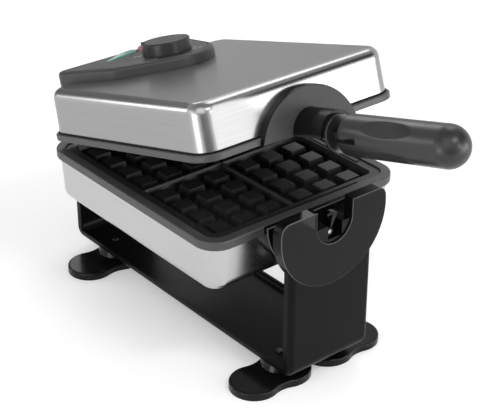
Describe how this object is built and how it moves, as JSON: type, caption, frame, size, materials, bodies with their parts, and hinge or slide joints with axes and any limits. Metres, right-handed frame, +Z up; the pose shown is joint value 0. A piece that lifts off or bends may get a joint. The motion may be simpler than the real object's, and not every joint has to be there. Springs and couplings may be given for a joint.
{
  "type": "flip waffle maker",
  "caption": "Rectangular waffle maker that turns over in a U-shaped stand, with a hinged steel lid, studded plates, a folding round grip, a latch and a setting dial.",
  "frame": {"origin": "on the table, under the middle of the outside box at rest with the grip out", "axes": "+X to the right seen from the grip, +Y from the grip to the hinge, +Z up"},
  "size_m": [0.242, 0.5345, 0.328],
  "materials": {
    "stand_black": "gloss black stove enamel on sheet steel",
    "gloss_black": "gloss black moulded plastic",
    "foot_black": "gloss black moulded plastic",
    "rim_black": "satin black moulded plastic",
    "panel_black": "fine satin black plastic",
    "dial_black": "satin black plastic",
    "brushed_steel": "brushed stainless steel",
    "non_stick": "cast aluminium with a dark non-stick coat",
    "heater_steel": "dull sheathed heating rod",
    "shield_metal": "plain aluminium sheet",
    "bracket_black": "satin black painted metal",
    "screw_steel": "plain bright steel",
    "screw_black": "black lacquered steel",
    "latch_steel": "bright plated steel",
    "bush": "natural bearing plastic",
    "lens_green": "green lamp lens",
    "lens_red": "red lamp lens"
  },
  "bodies": {
    "stand": {"stand_frame": "stand_black", "front_head": "gloss_black", "rear_head": "gloss_black", "rear_bush": "bush", "front_left_foot": "foot_black", "front_right_foot": "foot_black", "rear_left_foot": "foot_black", "rear_right_foot": "foot_black", "base_screws": "screw_black", "head_screws": "screw_steel"},
    "unit": {"lower_pan": "brushed_steel", "lower_rim": "rim_black", "lower_grid_plate": "non_stick", "lower_heater": "heater_steel", "lower_heat_shield": "shield_metal", "front_journal": "gloss_black", "journal_screws": "screw_steel", "latch_pin": "screw_steel", "rear_bracket": "bracket_black", "bracket_screws": "screw_steel", "rear_trunnion": "screw_steel", "trunnion_cap": "gloss_black"},
    "latch": {"latch_hook": "latch_steel"},
    "lid": {"lid_shell": "brushed_steel", "lid_rim": "rim_black", "upper_grid_plate": "non_stick", "upper_heater": "heater_steel", "upper_heat_shield": "shield_metal", "lid_hinge": "bracket_black", "ear_screws": "screw_steel", "hinge_pins": "screw_steel", "handle_escutcheon": "gloss_black", "latch_strike": "latch_steel", "handle_neck": "gloss_black", "control_panel": "panel_black", "thermostat": "bush", "ready_lens": "lens_green", "power_lens": "lens_red"},
    "dial": {"dial_shaft": "screw_steel", "dial": "dial_black"},
    "grip": {"grip": "gloss_black", "grip_pin": "screw_steel"}
  },
  "joints": [
    {"name": "flip", "type": "hinge", "parent": "stand", "child": "unit", "pos_m": [0, 0.06, 0.1785], "axis": [0, 1, 0], "range_deg": [-60, 60]},
    {"name": "lid_hinge", "type": "hinge", "parent": "unit", "child": "lid", "pos_m": [0, 0.218, 0.195], "axis": [-1, 0, 0], "range_deg": [-15.7, 72]},
    {"name": "latch_turn", "type": "hinge", "parent": "unit", "child": "latch", "pos_m": [-0.002, -0.105, 0.1665], "axis": [0, -1, 0], "range_deg": [0, 24]},
    {"name": "dial_turn", "type": "hinge", "parent": "lid", "child": "dial", "pos_m": [0.008, 0.15941, 0.26112], "axis": [0, 0.2706, 0.9627], "range_deg": [-188, 71]},
    {"name": "grip_fold", "type": "hinge", "parent": "lid", "child": "grip", "pos_m": [0, -0.14314, 0.27937], "axis": [0, -0.2706, -0.9627], "range_deg": [0, 90]}
  ]
}
